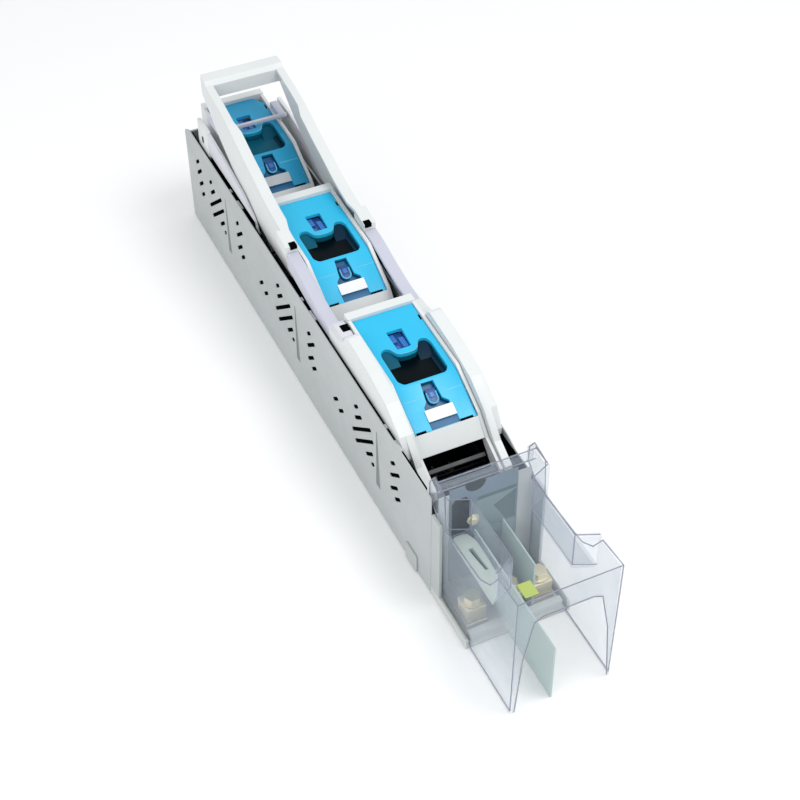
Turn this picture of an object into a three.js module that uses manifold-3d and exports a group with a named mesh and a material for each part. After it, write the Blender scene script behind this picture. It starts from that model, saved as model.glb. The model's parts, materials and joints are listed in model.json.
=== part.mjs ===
// Three-pole vertical fuse strip for blade-type cartridge fuses, lying on its back and switched on.
// Millimetres. +X runs across the strip, +Y along it towards the busbar end, +Z out of its front.
// The origin is under the middle of the whole strip, on the plane that its back rests on.
import * as THREE from 'three';
import { mergeVertices } from 'three/addons/utils/BufferGeometryUtils.js';
import Module from 'manifold-3d';

const wasm = await Module();
wasm.setup();

// ---- driving dimensions ----
const OVERALL_LENGTH = 736;
const BODY_LENGTH = 595;
const MODULE_WIDTH = 99;
const WALL_HEIGHT = 119;
const WALL = 2.2;
const POLE_PITCH = 185;
const POLE_COUNT = 3;
const FIRST_POLE_INSET = 101;
const FLOOR = 4;
const GAP = 0.4;

const FAR_END = OVERALL_LENGTH / 2;
const NEAR_END = -OVERALL_LENGTH / 2;
const BODY_NEAR = FAR_END - BODY_LENGTH;
const HALF_WIDTH = MODULE_WIDTH / 2;
const WALL_INNER = HALF_WIDTH - WALL;
const POLES = Array.from({ length: POLE_COUNT }, (_, i) => FAR_END - FIRST_POLE_INSET - i * POLE_PITCH);

// Each carrier turns about an axle below its lower edge. The lever shares the last axle.
const AXLE_DROP = 88;
const AXLE_Z = 84;
const AXLE_RADIUS = 3.5;
const EYE_HOLE = 3.9;
const LEVER_AXLE_Y = POLES[POLE_COUNT - 1] - AXLE_DROP;

// Widths of the lanes that the moving pieces keep to, measured from the middle of the strip.
const COVER_HALF = 29.4;
const CHEEK_INNER = 29.8;
const CHEEK_OUTER = 33;
const TIE_LANE = [36.6, 38.6];
const CHEEK_LANE = [39.2, 45.7];
const FLANGE_INNER = 33.8;
const ARM_WEB = [39.2, 41.5];
const GRIP_CORNER = 6;

// The tie bars join the carriers at a pin above and beyond each axle.
const TIE_PIN_Y = 75;
const TIE_PIN_Z = 114;
const TIE_PIN_RADIUS = 3;
const TIE_HOLE = 3.4;

// The load bars run side by side under the contact wells to the terminals.
const BAR_LANES = [[-41, -21], [-6, 14], [22, 42]];
const BAR_LOW = FLOOR + 0.6;
const BAR_HIGH = BAR_LOW + 4;
const WELL_LOW = BAR_HIGH + GAP;
const TERMINAL_REACH = 67;
const BAR_END = BODY_NEAR - 52;
const CLAMP_HALF = 9;
const CLAMP_HEIGHT = 16;
const LUG_PAD = 1;

// The clear terminal cover.
const COVER_WALL = 1.8;
const COVER_OUTER = 46.2;
const COVER_TOP = 137;
const RECESS_FLOOR = 100;
const RECESS_INNER = 27;
const REAR_LIP = 13;
const TROUGH_SIDE = 10;

// The front of a carrier: a flat stretch, then a slope down to its lower edge.
const SLOPE_TOP = { y: -10, z: 137.3 };
const SLOPE_FOOT = { y: -52, z: 116.5 };
const SLOPE = Math.atan2(SLOPE_TOP.z - SLOPE_FOOT.z, SLOPE_TOP.y - SLOPE_FOOT.y);

// ---- colours ----
const FINISHES = {
  housing: { color: 0xb9bdbd, roughness: 0.6, metalness: 0 },
  lever: { color: 0xf0f2f1, roughness: 0.45, metalness: 0 },
  link: { color: 0xc9cad6, roughness: 0.35, metalness: 0 },
  cover: { color: 0x29afd6, roughness: 0.4, metalness: 0 },
  port: { color: 0x21508f, roughness: 0.4, metalness: 0 },
  pane: { color: 0x07151c, roughness: 0.15, metalness: 0 },
  liner: { color: 0x0b0d0f, roughness: 0.6, metalness: 0 },
  label: { color: 0xf5f5f2, roughness: 0.5, metalness: 0 },
  silver: { color: 0xc8ccd0, roughness: 0.3, metalness: 1 },
  copper: { color: 0xb5b0a8, roughness: 0.35, metalness: 1 },
  brass: { color: 0xcdb774, roughness: 0.35, metalness: 1 },
  steel: { color: 0xa9adb2, roughness: 0.35, metalness: 1 },
  barrier: { color: 0xaebfbd, roughness: 0.5, metalness: 0 },
  clear: { color: 0xd5dde4, roughness: 0.1, metalness: 0 },
  marker: { color: 0xbccf45, roughness: 0.5, metalness: 0 },
};

// ---- geometry helpers ----
const outlineOf = (points) => new THREE.Shape(points.map(([a, b]) => new THREE.Vector2(a, b)));

function extrude(points, holes, depth) {
  const shape = outlineOf(points);
  shape.holes = holes.map((hole) => new THREE.Path(hole.map(([a, b]) => new THREE.Vector2(a, b))));
  return new THREE.ExtrudeGeometry(shape, { depth, bevelEnabled: false });
}

// An outline of (y, z) points, extruded across the strip.
function slabX(points, x0, x1, holes = []) {
  const geometry = extrude(points, holes, x1 - x0);
  const axes = new THREE.Matrix4().makeBasis(
    new THREE.Vector3(0, 1, 0), new THREE.Vector3(0, 0, 1), new THREE.Vector3(1, 0, 0));
  return geometry.applyMatrix4(axes).translate(x0, 0, 0);
}

// An outline of (x, z) points, extruded along the strip.
function slabY(points, y0, y1, holes = []) {
  const geometry = extrude(points, holes, y1 - y0);
  const axes = new THREE.Matrix4().makeBasis(
    new THREE.Vector3(1, 0, 0), new THREE.Vector3(0, 0, 1), new THREE.Vector3(0, -1, 0));
  return geometry.applyMatrix4(axes).translate(0, y1, 0);
}

// An outline of (x, y) points, extruded towards the front.
function slabZ(points, z0, z1, holes = []) {
  return extrude(points, holes, z1 - z0).translate(0, 0, z0);
}

function block([x0, x1], [y0, y1], [z0, z1]) {
  const box = new THREE.BoxGeometry(x1 - x0, y1 - y0, z1 - z0);
  return box.translate((x0 + x1) / 2, (y0 + y1) / 2, (z0 + z1) / 2);
}

function rodX(radius, x0, x1, y, z, sides = 16) {
  return slabX(ring(y, z, radius, sides), x0, x1);
}

function rodZ(radius, z0, z1, x, y, sides = 16) {
  return slabZ(ring(x, y, radius, sides), z0, z1);
}

function ring(u, v, radius, sides = 16) {
  return Array.from({ length: sides }, (_, i) => {
    const angle = (i * 2 * Math.PI) / sides;
    return [u + radius * Math.cos(angle), v + radius * Math.sin(angle)];
  });
}

// A slot with round ends, centred on (u, v), whose long axis leans by the given angle.
function slot(u, v, length, width, angle, steps = 3) {
  const reach = (length - width) / 2;
  const points = [];
  for (const side of [1, -1]) {
    for (let i = 0; i <= steps; i++) {
      const turn = angle + (side > 0 ? 0 : Math.PI) - Math.PI / 2 + (i * Math.PI) / steps;
      points.push([
        u + side * reach * Math.cos(angle) + (width / 2) * Math.cos(turn),
        v + side * reach * Math.sin(angle) + (width / 2) * Math.sin(turn),
      ]);
    }
  }
  return points;
}

const shift = (points, du, dv = 0) => points.map(([u, v]) => [u + du, v + dv]);
const mirrorRange = ([x0, x1], side) => (side > 0 ? [x0, x1] : [-x1, -x0]);

function toSolid(geometry) {
  const bare = geometry.clone();
  for (const extra of ['normal', 'uv']) {
    bare.deleteAttribute(extra);
  }
  const merged = mergeVertices(bare, 1e-4);
  return new wasm.Manifold(new wasm.Mesh({
    numProp: 3,
    vertProperties: new Float32Array(merged.attributes.position.array),
    triVerts: new Uint32Array(merged.index.array),
  }));
}

function toGeometry(solid) {
  const mesh = solid.getMesh();
  const geometry = new THREE.BufferGeometry();
  geometry.setAttribute('position', new THREE.BufferAttribute(new Float32Array(mesh.vertProperties), 3));
  geometry.setIndex(new THREE.BufferAttribute(new Uint32Array(mesh.triVerts), 1));
  return geometry;
}

function combine(operation, first, others) {
  const result = others.reduce((solid, other) => solid[operation](toSolid(other)), toSolid(first));
  return toGeometry(result);
}

const join = (first, ...others) => combine('add', first, others);
const cut = (first, ...others) => combine('subtract', first, others);
const overlap = (first, ...others) => combine('intersect', first, others);

// ---- scene graph ----
const strip = new THREE.Group();

function add(name, finish, geometry, place) {
  const mesh = new THREE.Mesh(geometry, new THREE.MeshStandardMaterial(FINISHES[finish]));
  mesh.name = name;
  if (place) {
    place(mesh);
  }
  strip.add(mesh);
}

const sides = [['left', -1], ['right', 1]];

// ---- housing ----
function basePlate() {
  const plate = block([-WALL_INNER + GAP, WALL_INNER - GAP], [BODY_NEAR + GAP, FAR_END - GAP], [0, FLOOR]);
  const endCap = block([-WALL_INNER + GAP, WALL_INNER - GAP], [FAR_END - 3, FAR_END - GAP], [0, 108]);
  add('base_plate', 'housing', join(plate, endCap));
}

// Vent slots lean back from the busbar end. Each row is (y from the pole, z, length), and a dot has no length.
const VENT_WIDTH = 5;
const VENT_ANGLE = THREE.MathUtils.degToRad(144);
const ARC_VENTS = [[28, 90, 0], [24, 80, 15], [17.5, 71, 60], [12, 61, 56], [1, 55, 15], [-6, 48, 0]];
const SIDE_VENTS = [[-49, 90, 0], [-53, 79, 17], [-51, 61, 17], [-58, 53, 0]];
const TOP_VENTS = [[67, 91, 0], [64, 80, 14], [62, 66, 14], [59, 54, 0]];
const TOP_DOTS = [[76, 58, 0], [64, 53, 0]];

function ventHoles() {
  return POLES.flatMap((pole, i) => {
    const rows = [...ARC_VENTS, ...SIDE_VENTS, ...(i === 0 ? TOP_VENTS : TOP_DOTS)];
    return rows.map(([y, z, length]) => (length > 0
      ? slot(pole + y, z, length, VENT_WIDTH, VENT_ANGLE)
      : ring(pole + y, z, VENT_WIDTH / 2, 8)));
  });
}

function sideWalls() {
  const rear = [[BODY_NEAR, 0], [FAR_END, 0], [FAR_END, 111], [FAR_END - 14, WALL_HEIGHT]];
  // The right wall steps down beside the end of its cheek, and the left wall keeps its full height.
  const stepDown = shift([[84, WALL_HEIGHT], [70, 104], [52, 102], [37, 97], [0, 97]], BODY_NEAR);
  const outlines = { left: [...rear, [BODY_NEAR, WALL_HEIGHT]], right: [...rear, ...stepDown] };
  // A raised rest carries the lever's arm near its grip, and a clip below locates the strip's neighbour.
  const rest = [[-126, 112], [-118, 141], [-100, 151], [-86, 149], [-64, 143], [-43, 138], [-40, 112]];
  for (const [name, side] of sides) {
    const wall = slabX(outlines[name], ...mirrorRange([WALL_INNER, HALF_WIDTH], side), ventHoles());
    const armRest = slabX(shift(rest, FAR_END), ...mirrorRange([ARM_WEB[0] + 0.3, HALF_WIDTH - 1], side));
    const clip = block(
      mirrorRange([HALF_WIDTH - 1, HALF_WIDTH + 2], side), [BODY_NEAR + 25, BODY_NEAR + 47], [0.5, 20]);
    add(`side_wall_${name}`, 'housing', join(wall, armRest, clip));
  }
}

function partitions() {
  const width = [-WALL_INNER + GAP, WALL_INNER - GAP];
  for (const i of [0, 1]) {
    const y = (POLES[i] + POLES[i + 1]) / 2;
    add(`phase_partition_${i + 1}`, 'housing', block(width, [y - 1.2, y + 1.2], [WELL_LOW, 74]));
  }
  add('load_bulkhead', 'liner', block(width, [BODY_NEAR + 4, BODY_NEAR + 8], [WELL_LOW, 94]));
}

// ---- contacts ----
function contactWell(k, pole) {
  const outer = block([-33, 33], [pole - 66, pole + 60], [WELL_LOW, 72]);
  const hollow = block([-30.5, 30.5], [pole - 63.5, pole + 57.5], [WELL_LOW + 2.5, 73]);
  add(`contact_well_${k}`, 'liner', cut(outer, hollow));
}

// A pair of sprung leaves on a common foot, open towards the front, grips one blade of the fuse.
const JAW_LOW = WELL_LOW + 2.5 + GAP;
const JAW_HALF = [[9, 0], [9, 4], [6.6, 7], [6.6, 38], [9.6, 46], [7.6, 47], [3.4, 38.5], [3.4, 4]];

function jaw(name, y0, y1) {
  const right = JAW_HALF.map(([x, z]) => [x, z + JAW_LOW]);
  const left = JAW_HALF.map(([x, z]) => [-x, z + JAW_LOW]).reverse();
  add(name, 'silver', slabY([...right, ...left], y0, y1));
}

function loadPath(k, pole) {
  const [x0, x1] = BAR_LANES[k - 1];
  const middle = (x0 + x1) / 2;
  // A raised pad between the clamp and the body takes a flat cable lug.
  const bar = block([x0, x1], [BAR_END, pole - 46], [BAR_LOW, BAR_HIGH]);
  const clampTop = BAR_HIGH + CLAMP_HEIGHT;
  const clampY = BAR_END + CLAMP_HALF + 2;
  const padRange = [clampY + CLAMP_HALF + 1, BODY_NEAR - 3];
  add(`load_bar_${k}`, 'copper', join(bar, block([x0, x1], padRange, [BAR_LOW, BAR_HIGH + LUG_PAD])));
  const clamp = block(
    [x0 + 1, x1 - 1], [clampY - CLAMP_HALF, clampY + CLAMP_HALF], [BAR_HIGH + GAP, clampTop]);
  add(`terminal_clamp_${k}`, 'brass', cut(clamp, rodZ(5.6, BAR_HIGH - 1, clampTop + 1, middle, clampY)));
  const shank = rodZ(5, BAR_HIGH + GAP, clampTop + 2, middle, clampY);
  const washer = rodZ(8.6, clampTop + GAP, clampTop + 2.2, middle, clampY);
  const head = rodZ(7.4, clampTop + 2, clampTop + 8, middle, clampY, 6);
  add(`terminal_bolt_${k}`, 'steel', join(shank, washer, head));
}

// ---- terminal compartment ----
function terminalCompartment() {
  const end = BODY_NEAR - TERMINAL_REACH;
  const inner = WALL_INNER - 0.6;
  const trough = [
    [-HALF_WIDTH, 0], [HALF_WIDTH, 0], [HALF_WIDTH, TROUGH_SIDE], [inner, TROUGH_SIDE], [inner, FLOOR],
    [-inner, FLOOR], [-inner, TROUGH_SIDE], [-HALF_WIDTH, TROUGH_SIDE],
  ];
  const ridge = block([-43.8, 43.8], [end + 3, end + 9], [FLOOR - 1, FLOOR + 8]);
  add('terminal_trough', 'housing', join(slabY(trough, end, BODY_NEAR - GAP), ridge));
  for (const [name, side] of sides) {
    const guide = block(
      mirrorRange([inner, HALF_WIDTH], side), [BODY_NEAR - 16, BODY_NEAR - GAP], [TROUGH_SIDE + GAP, 100]);
    add(`cover_guide_${name}`, 'housing', guide);
  }
  // The longer barrier reaches out between the cover's legs.
  const shelf = end + 9 + GAP;
  const foot = FLOOR + GAP;
  const long = [
    [BODY_NEAR - GAP, foot], [BODY_NEAR - GAP, 64], [NEAR_END + 1, 64], [NEAR_END + 1, 0],
    [end - GAP, 0], [end - GAP, FLOOR + 8.4], [shelf, FLOOR + 8.4], [shelf, foot],
  ];
  add('phase_barrier_left', 'barrier', slabX(long, -9.8, -8.2));
  const short = [[BODY_NEAR - GAP, foot], [BODY_NEAR - GAP, 64], [shelf, 64], [shelf, foot]];
  add('phase_barrier_right', 'barrier', slabX(short, 17.2, 18.8));
}

// ---- carriers ----
function axle(k, pole) {
  const reach = WALL_INNER - GAP;
  add(`carrier_axle_${k}`, 'steel', rodX(AXLE_RADIUS, -reach, reach, pole - AXLE_DROP, AXLE_Z));
}

function carrierFrame(k, pole) {
  const cheek = shift([
    [88, 118], [88, 144], [-9, 140.5], [-51, 119.5], [-68, 103], [-95, 90], [-97, 82], [-91, 76],
    [-82, 77], [-60, 97], [-40, 106], [60, 108],
  ], pole);
  const eye = ring(pole - AXLE_DROP, AXLE_Z, EYE_HOLE);
  const cheeks = sides.map(([, side]) => (
    slabX(cheek, ...mirrorRange([CHEEK_INNER, CHEEK_OUTER], side), [eye])));
  const pinY = pole - AXLE_DROP + TIE_PIN_Y;
  const pins = sides.map(([, side]) => (
    rodX(TIE_PIN_RADIUS, ...mirrorRange([CHEEK_OUTER - 1, TIE_LANE[1]], side), pinY, TIE_PIN_Z, 12)));
  const topBar = block([-CHEEK_OUTER, CHEEK_OUTER], [pole + 78.5, pole + 88], [130, 145.5]);
  const footBar = slabX(
    shift([[-52.8, 117], [-66.5, 102.5], [-62, 99], [-50.5, 111]], pole), -CHEEK_OUTER, CHEEK_OUTER);
  add(`carrier_frame_${k}`, 'lever', join(cheeks[0], cheeks[1], ...pins, topBar, footBar));
}

// The main window has two rounded lobes on either side of the upper port.
function windowOutline() {
  return [
    [-21.5, -7], [-18, -11], [18, -11], [21.5, -7], [21.5, 30], [18.5, 35], [14, 35],
    [8, 26], [-8, 26], [-14, 35], [-18.5, 35], [-21.5, 30],
  ];
}

function carrierCover(k, pole) {
  const thickness = 3.2;
  const { y: y1, z: z1 } = SLOPE_TOP;
  const { y: y2, z: z2 } = SLOPE_FOOT;
  const plate = slabX(shift([
    [78, 142], [y1, z1], [y2, z2], [y2 + 1.4, z2 - 2.9], [y1 + 0.8, z1 - thickness], [78, 142 - thickness],
  ], pole), -COVER_HALF, COVER_HALF);
  const window = slabZ(shift(windowOutline(), 0, pole), 100, 150);
  const upperPort = block([-6.5, 6.5], [pole + 31, pole + 55], [100, 150]);
  const lowerPort = block([-6, 6], [pole - 33, pole - 16], [100, 150]);
  add(`carrier_cover_${k}`, 'cover', cut(plate, window, upperPort, lowerPort));
}

function carrierDetails(k, pole) {
  const pane = [
    [-25, -9], [25, -9], [25, 38], [10, 38], [10, 28.5], [-10, 28.5], [-10, 38], [-25, 38],
  ];
  add(`window_pane_${k}`, 'pane', slabZ(shift(pane, 0, pole), 130.6, 133.2));
  add(`fuse_hook_${k}`, 'port', block([-8, 8], [pole + 29.5, pole + 56.5], [129, 135.6]));
  const onSlope = (y, lift) => (mesh) => {
    mesh.position.set(0, pole + y, SLOPE_TOP.z + (y - SLOPE_TOP.y) * Math.tan(SLOPE) + lift);
    mesh.rotation.x = SLOPE;
  };
  add(`release_latch_${k}`, 'port', new THREE.BoxGeometry(10, 17, 3), onSlope(-24, -6));
  add(`label_plate_${k}`, 'label', new THREE.BoxGeometry(27, 10.5, 0.8), onSlope(-39.5, 0.9));
}

// A clip across the first carrier. It stands on the carrier's cheeks, with a flat tongue over each of them.
function topClip(pole) {
  const bar = block([-38, 38], [pole + 24.5, pole + 28], [147.4, 151]);
  const tongues = sides.map(([, side]) => (
    block(mirrorRange([30.5, 38], side), [pole + 26, pole + 53], [147.4, 150])));
  const feet = sides.map(([, side]) => (
    block(mirrorRange([30.5, 32.6], side), [pole + 26, pole + 53], [143.1, 148])));
  add('carrier_clip_1', 'link', join(bar, ...tongues, ...feet));
}

// ---- tie bars ----
function tieBars() {
  const first = LEVER_AXLE_Y + TIE_PIN_Y;
  const last = first + (POLE_COUNT - 1) * POLE_PITCH;
  const half = 5.5;
  const outline = [
    [first - 8, TIE_PIN_Z - 2], [first - 5, TIE_PIN_Z - half], [last + 5, TIE_PIN_Z - half],
    [last + 8, TIE_PIN_Z - 2], [last + 8, TIE_PIN_Z + 2], [last + 5, TIE_PIN_Z + half],
    [first - 5, TIE_PIN_Z + half], [first - 8, TIE_PIN_Z + 2],
  ];
  const holes = POLES.map((pole) => ring(pole - AXLE_DROP + TIE_PIN_Y, TIE_PIN_Z, TIE_HOLE, 12));
  for (const [name, side] of sides) {
    add(`tie_bar_${name}`, 'steel', slabX(outline, ...mirrorRange(TIE_LANE, side), holes));
  }
}

// ---- operating lever ----
// Lever outlines are in (distance from the lever's axle, z).
function handleFrame() {
  const top = [
    [280, 149], [303, 153], [330, 157], [348, 161], [367, 167], [395, 175], [436, 189], [461, 194],
    [495, 199], [513, 201],
  ];
  const web = [
    ...top, [513, 184], [499, 178], [466, 157], [405, 128], [340, 113], [280, 113],
  ];
  const flange = [...top, ...top.map(([a, z]) => [a, z - 3.5]).reverse()];
  // Along its middle the flange is wider, and the extra width tapers off at both ends.
  const wide = [[FLANGE_INNER + 1, 296], [31, 314], [31, 424], [FLANGE_INNER + 1, 442]];
  const nearEnd = [[280, 149], [303, 153], [303, 141], [280, 137]];
  const lanes = [
    [web, ARM_WEB],
    [flange, [FLANGE_INNER, ARM_WEB[1]]],
    [nearEnd, [FLANGE_INNER, CHEEK_LANE[1]]],
  ];
  const parts = sides.flatMap(([, side]) => lanes.map(([outline, lane]) => (
    slabX(shift(outline, LEVER_AXLE_Y), ...mirrorRange(lane, side)))));
  for (const [, side] of sides) {
    const strap = slabX(shift(flange, LEVER_AXLE_Y), ...mirrorRange([31, FLANGE_INNER + 1], side));
    const plan = wide.map(([x, a]) => [x * side, a + LEVER_AXLE_Y]);
    parts.push(overlap(strap, slabZ(plan, 100, 220)));
  }
  const grip = [
    [493, 198], [497, 202.5], [510, 203], [513, 200], [513, 184], [509, 184], [508, 197], [499, 197],
    [498, 184], [493, 184],
  ];
  parts.push(slabX(shift(grip, LEVER_AXLE_Y), -ARM_WEB[1], ARM_WEB[1]));
  // Seen from the front, the two corners of the grip are rounded off.
  const start = top[0][0] + LEVER_AXLE_Y;
  const end = top[top.length - 1][0] + LEVER_AXLE_Y;
  const corner = ring(ARM_WEB[1] - GRIP_CORNER, end - GRIP_CORNER, GRIP_CORNER).slice(0, 5);
  const right = [[CHEEK_LANE[1], start - 1], [CHEEK_LANE[1], start + 24], [ARM_WEB[1], start + 24], ...corner];
  const left = right.map(([x, y]) => [-x, y]).reverse();
  add('handle_frame', 'lever', overlap(join(...parts), slabZ([...right, ...left], 100, 220)));
}

function linkBars() {
  const top = [[279.6, 143], [260, 141], [233, 135], [205, 130.5], [181.4, 130]];
  const web = [...top, [181.4, 116], [205, 116], [233, 119], [279.6, 126]];
  const flange = [...top, ...top.map(([a, z]) => [a, z - 4]).reverse()];
  for (const [name, side] of sides) {
    const upright = slabX(shift(web, LEVER_AXLE_Y), ...mirrorRange([40, CHEEK_LANE[1]], side));
    const shelf = slabX(shift(flange, LEVER_AXLE_Y), ...mirrorRange([FLANGE_INNER, 41], side));
    add(`lever_link_${name}`, 'link', join(upright, shelf));
  }
}

function leverCheeks() {
  // From the joint with the link the cheek steps up to its crown, then falls towards the axle.
  const crown = [[181, 131], [166, 132], [150, 137], [143, 149], [138, 151], [93, 147], [59, 140], [32, 125]];
  const outer = [[181, 106], ...crown, [21, 108], [22, 100], [60, 103]];
  const rim = [
    ...crown, [12, 104], [-9, 93], [-12, 84], [-8, 76], [2, 73], [12, 78], [38, 106], [62, 124], [181, 124],
  ];
  const eye = ring(LEVER_AXLE_Y, AXLE_Z, EYE_HOLE);
  for (const [name, side] of sides) {
    const plate = slabX(shift(outer, LEVER_AXLE_Y), ...mirrorRange(CHEEK_LANE, side));
    const flange = slabX(
      shift(rim, LEVER_AXLE_Y), ...mirrorRange([CHEEK_OUTER + 0.6, CHEEK_LANE[0] + 1], side), [eye]);
    add(`lever_cheek_${name}`, 'lever', join(plate, flange));
  }
}

// ---- clear terminal cover ----
// Cover outlines are in (distance from the end of the body, z).
function terminalCover() {
  const at = (points) => points.map(([d, z]) => [BODY_NEAR - d, z]);
  const front = BODY_NEAR - NEAR_END;
  const side = at([
    [2, 5], [2, 101], [-11, 112], [-11, 128], [-2, 141], [17, COVER_TOP], [20, 98], [81, 103], [97, 114],
    [109, 134], [front, COVER_TOP], [front - 3, 0.5], [68, 0.5], [68, 5],
  ]);
  const parts = sides.map(([, s]) => slabX(side, ...mirrorRange([COVER_OUTER - COVER_WALL, COVER_OUTER], s)));
  const width = [-COVER_OUTER, COVER_OUTER];
  parts.push(block(width, [NEAR_END, BODY_NEAR], [COVER_TOP - COVER_WALL, COVER_TOP]));
  const band = [
    [-COVER_OUTER, COVER_TOP], [COVER_OUTER, COVER_TOP], [44.5, 0.5], [42.5, 0.5], [38, 66], [30, 108],
    [22, 112], [-22, 112], [-30, 108], [-38, 66], [-42.5, 0.5], [-44.5, 0.5],
  ];
  parts.push(slabY(band, NEAR_END, NEAR_END + COVER_WALL));
  parts.push(block(width, [BODY_NEAR - COVER_WALL, BODY_NEAR], [COVER_TOP - REAR_LIP, COVER_TOP]));
  let shell = join(...parts);
  // A finger recess on each flank, open at the side.
  for (const [, s] of sides) {
    const recess = (inset, reach) => [
      [reach * s, BODY_NEAR - 20 - inset], [(RECESS_INNER + inset) * s, BODY_NEAR - 28 - inset],
      [(RECESS_INNER + inset) * s, BODY_NEAR - 98 + inset], [reach * s, BODY_NEAR - 106 + inset],
    ];
    const solid = slabZ(recess(0, COVER_OUTER), RECESS_FLOOR - COVER_WALL, COVER_TOP);
    shell = join(shell, solid);
    shell = cut(shell, slabZ(recess(COVER_WALL, COVER_OUTER + 5), RECESS_FLOOR, COVER_TOP + 9));
  }
  add('terminal_cover', 'clear', shell);
  const marker = block([-38, -25], [NEAR_END + 4, NEAR_END + 19], [COVER_TOP + 0.3, COVER_TOP + 1.1]);
  add('cover_marker', 'marker', marker);
}

// ---- assembly ----
basePlate();
sideWalls();
partitions();
POLES.forEach((pole, i) => {
  const k = i + 1;
  contactWell(k, pole);
  jaw(`line_jaw_${k}`, pole + 40, pole + 55);
  jaw(`load_jaw_${k}`, pole - 55, pole - 40);
  loadPath(k, pole);
  axle(k, pole);
  carrierFrame(k, pole);
  carrierCover(k, pole);
  carrierDetails(k, pole);
});
topClip(POLES[0]);
tieBars();
handleFrame();
linkBars();
leverCheeks();
terminalCompartment();
terminalCover();

export default strip;
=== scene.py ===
"""Looks of the vertical fuse switch strip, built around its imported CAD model.

Blender units are metres. The object's sizes are written in millimetres and scaled where its meshes are made.
+X runs across the strip, +Y along it towards the busbar end, and +Z out of its front.
"""
import json
import math

import bmesh
import bpy
from mathutils import Matrix, Vector


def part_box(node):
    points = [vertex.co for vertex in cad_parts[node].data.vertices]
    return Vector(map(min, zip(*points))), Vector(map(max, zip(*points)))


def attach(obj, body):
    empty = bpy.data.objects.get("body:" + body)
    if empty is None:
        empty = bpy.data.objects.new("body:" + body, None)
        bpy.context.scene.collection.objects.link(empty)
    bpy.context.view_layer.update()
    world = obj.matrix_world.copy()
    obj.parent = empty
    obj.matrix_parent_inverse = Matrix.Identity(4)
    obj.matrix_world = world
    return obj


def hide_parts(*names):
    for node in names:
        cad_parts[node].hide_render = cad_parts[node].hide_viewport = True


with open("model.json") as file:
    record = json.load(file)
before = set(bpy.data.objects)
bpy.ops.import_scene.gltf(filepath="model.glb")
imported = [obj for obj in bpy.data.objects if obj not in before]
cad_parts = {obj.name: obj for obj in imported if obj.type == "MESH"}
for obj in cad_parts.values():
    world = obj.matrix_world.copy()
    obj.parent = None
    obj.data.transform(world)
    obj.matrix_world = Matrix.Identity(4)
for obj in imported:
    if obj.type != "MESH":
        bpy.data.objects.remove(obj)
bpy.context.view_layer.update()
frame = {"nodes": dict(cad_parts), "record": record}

MM = 0.001
SIDES = (("left", -1), ("right", 1))
NODE_SLOTS = {row["node"]: row["material_slot"] for row in frame["record"]["subparts"]}


def span(node):
    """A node's box at rest, in millimetres."""
    low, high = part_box(node)
    return Vector(low) / MM, Vector(high) / MM


# ---- places and sizes ----
WALL_LOW, WALL_HIGH = span("side_wall_left")
BODY_NEAR = WALL_LOW.y
FAR_END = WALL_HIGH.y
WALL_TOP = 119
HALF_WIDTH = 49.5
# Each cover reaches this far beyond its pole, and its face rises to this height there.
COVER_REACH = 78
COVER_CREST = 142
POLES = [span(f"carrier_cover_{k}")[1].y - COVER_REACH for k in (1, 2, 3)]
COVER_HALF = span("carrier_cover_1")[1].x
# The slope at a cover's foot runs between these two points: (0, distance from the pole, height).
SLOPE_TOP = Vector((0, -10, 137.3))
SLOPE_FOOT = Vector((0, -52, 116.5))
SLOPE = math.atan2(SLOPE_TOP.z - SLOPE_FOOT.z, SLOPE_TOP.y - SLOPE_FOOT.y)
AXLE_TO_POLE = 88
LEVER_AXLE_Y = POLES[2] - AXLE_TO_POLE

# ---- camera, in metres ----
CAMERA_SPOT = Vector((-0.4381, -1.0189, 1.0789))
CAMERA_TARGET = Vector((-0.0150, -0.0937, 0.1))
CAMERA_LENS = 72.34
CAMERA_ROLL = math.radians(-0.77)


def add_camera():
    data = bpy.data.cameras.new("camera")
    data.lens = CAMERA_LENS
    data.sensor_width = 36
    data.clip_start = 0.01
    camera = bpy.data.objects.new("camera", data)
    bpy.context.scene.collection.objects.link(camera)
    aim = (CAMERA_TARGET - CAMERA_SPOT).to_track_quat("-Z", "Y").to_matrix().to_4x4()
    camera.matrix_world = Matrix.Translation(CAMERA_SPOT) @ aim @ Matrix.Rotation(CAMERA_ROLL, 4, "Z")
    bpy.context.scene.camera = camera


# ---- studio, in metres ----
FLOOR_REACH = 6
FLOOR_LEVEL = -0.0005


def add_area_light(name, spot, target, size, power):
    data = bpy.data.lights.new(name, "AREA")
    data.shape = "DISK"
    data.size = size
    data.energy = power
    lamp = bpy.data.objects.new(name, data)
    lamp.location = spot
    lamp.rotation_euler = (Vector(target) - Vector(spot)).to_track_quat("-Z", "Y").to_euler()
    bpy.context.scene.collection.objects.link(lamp)


def add_stage():
    world = bpy.data.worlds.new("studio")
    world.use_nodes = True
    backdrop = world.node_tree.nodes["Background"]
    backdrop.inputs["Color"].default_value = (0.97, 0.985, 1, 1)
    backdrop.inputs["Strength"].default_value = 0.8
    bpy.context.scene.world = world
    add_area_light("key", (0.45, -0.5, 1.5), (0, -0.1, 0.1), 0.7, 9)
    add_area_light("fill", (-1.3, -0.7, 1.0), (0, 0, 0.1), 1.2, 5)
    mesh = bpy.data.meshes.new("floor")
    corners = [(x, y, 0) for x, y in rectangle(-FLOOR_REACH, FLOOR_REACH, -FLOOR_REACH, FLOOR_REACH)]
    mesh.from_pydata(corners, [], [(0, 1, 2, 3)])
    floor = bpy.data.objects.new("floor", mesh)
    floor.location.z = FLOOR_LEVEL
    bpy.context.scene.collection.objects.link(floor)
    floor.data.materials.append(plastic("floor_paint", (1.0, 1.0, 1.0), roughness=0.95, cloud=0.0))
    bpy.context.scene.view_settings.view_transform = "Standard"


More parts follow.
